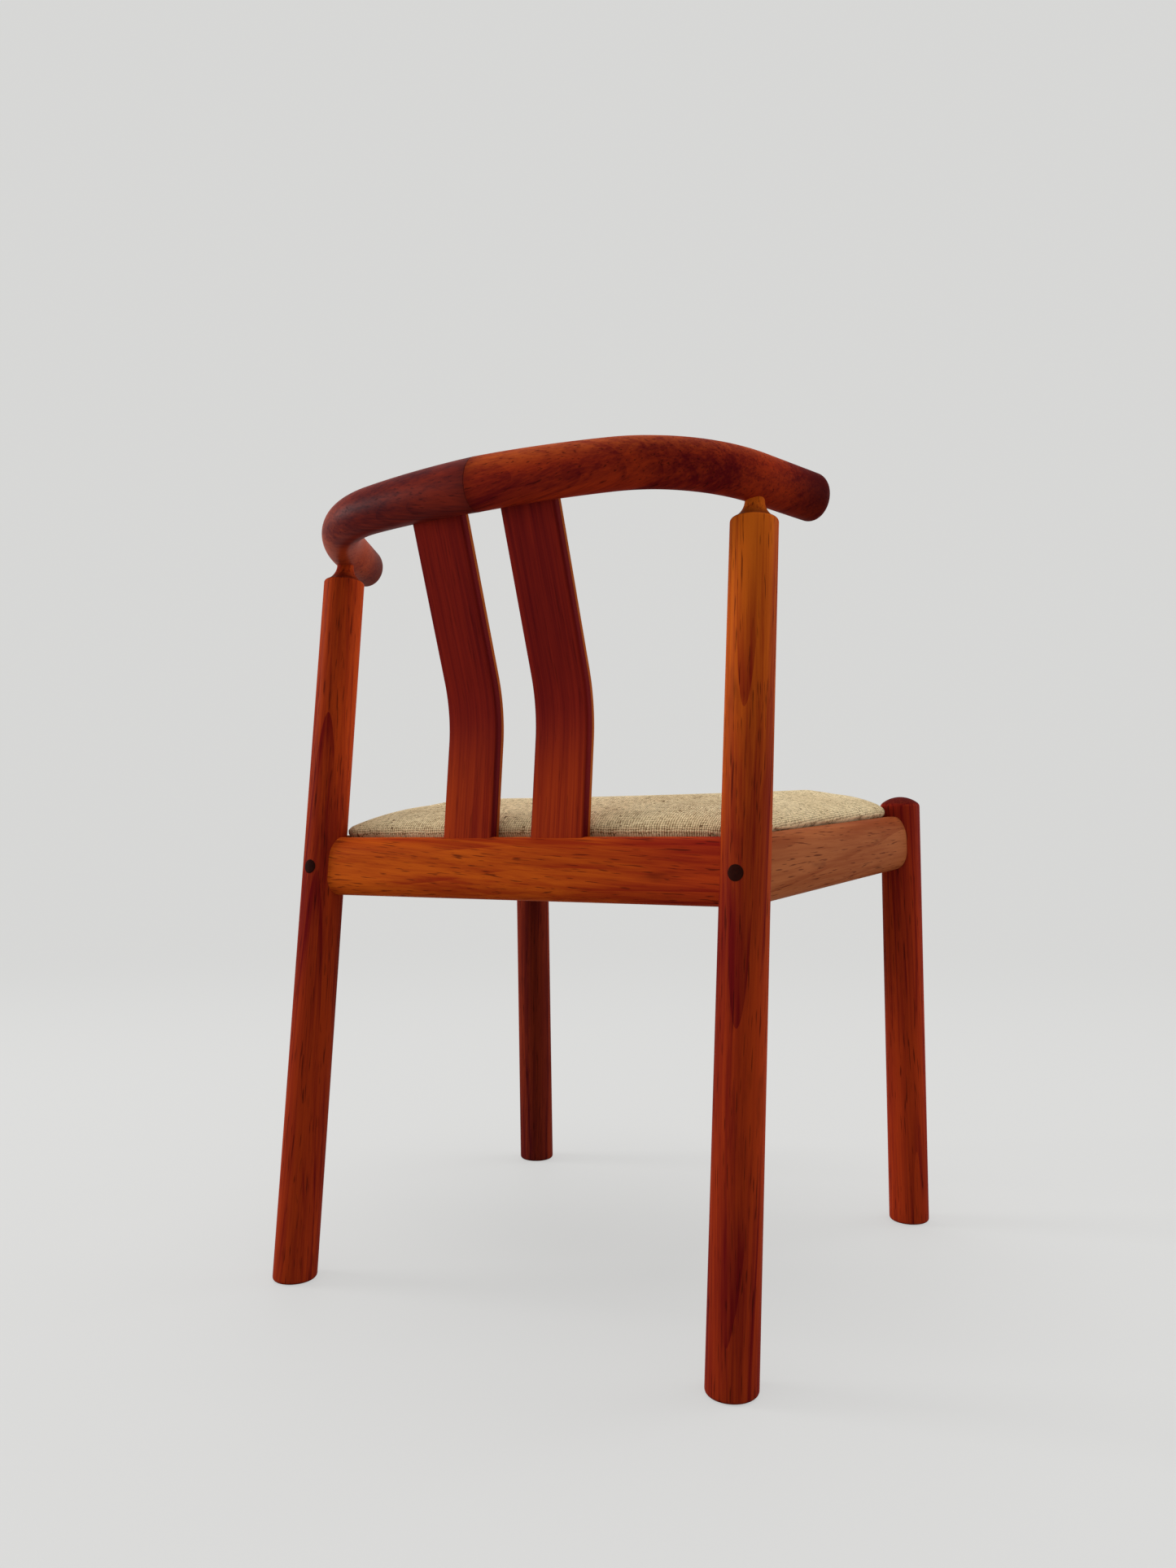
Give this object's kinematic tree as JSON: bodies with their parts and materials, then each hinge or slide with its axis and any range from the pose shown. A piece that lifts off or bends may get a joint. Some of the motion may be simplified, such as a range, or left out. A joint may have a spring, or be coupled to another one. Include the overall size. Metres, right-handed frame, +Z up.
{
  "type": "dining chair",
  "caption": "Dining chair with round leaning legs, a horseshoe top rail, bent back slats and a woven drop-in seat pad in an oiled wood frame.",
  "frame": {"origin": "on the floor, under the middle of the chair's bounding box", "axes": "+Z up, -Y the way the sitter faces, +X the sitter's left"},
  "size_m": [0.5192, 0.4851, 0.7219],
  "materials": {
    "teak": "satin",
    "slat_teak": "satin",
    "plug_wood": "satin",
    "steel": "satin",
    "dowel_beech": "matte",
    "block_beech": "matte",
    "plywood": "matte",
    "foam": "matte",
    "wool_cover": "matte",
    "dust_cloth": "matte"
  },
  "bodies": {
    "frame": {"rear_leg_left": "teak", "rear_leg_right": "teak", "front_leg_left": "teak", "front_leg_right": "teak", "back_rail": "teak", "front_rail": "teak", "side_rail_left": "teak", "side_rail_right": "teak", "top_rail_left": "teak", "top_rail_right": "teak", "back_slat_left": "slat_teak", "back_slat_right": "slat_teak", "leg_plug_left": "plug_wood", "leg_plug_right": "plug_wood", "leg_bolt_left": "steel", "leg_bolt_right": "steel", "leg_bolt_washers": "steel", "barrel_nuts": "steel", "corner_block_screws": "steel", "back_rail_dowels": "dowel_beech", "front_rail_dowels": "dowel_beech", "side_rail_rear_dowels": "dowel_beech", "side_rail_front_dowels": "dowel_beech", "top_rail_dowels": "dowel_beech", "corner_block_rear_left": "block_beech", "corner_block_rear_right": "block_beech", "corner_block_front_left": "block_beech", "corner_block_front_right": "block_beech"},
    "seat": {"seat_board": "plywood", "seat_foam": "foam", "seat_cover": "wool_cover", "seat_dust_cover": "dust_cloth", "cover_staples": "steel"}
  },
  "joints": [
    {"name": "seat_lift", "type": "slide", "parent": "frame", "child": "seat", "axis": [0, -0.0958, 0.9954], "range_m": [0, 0.08]}
  ]
}
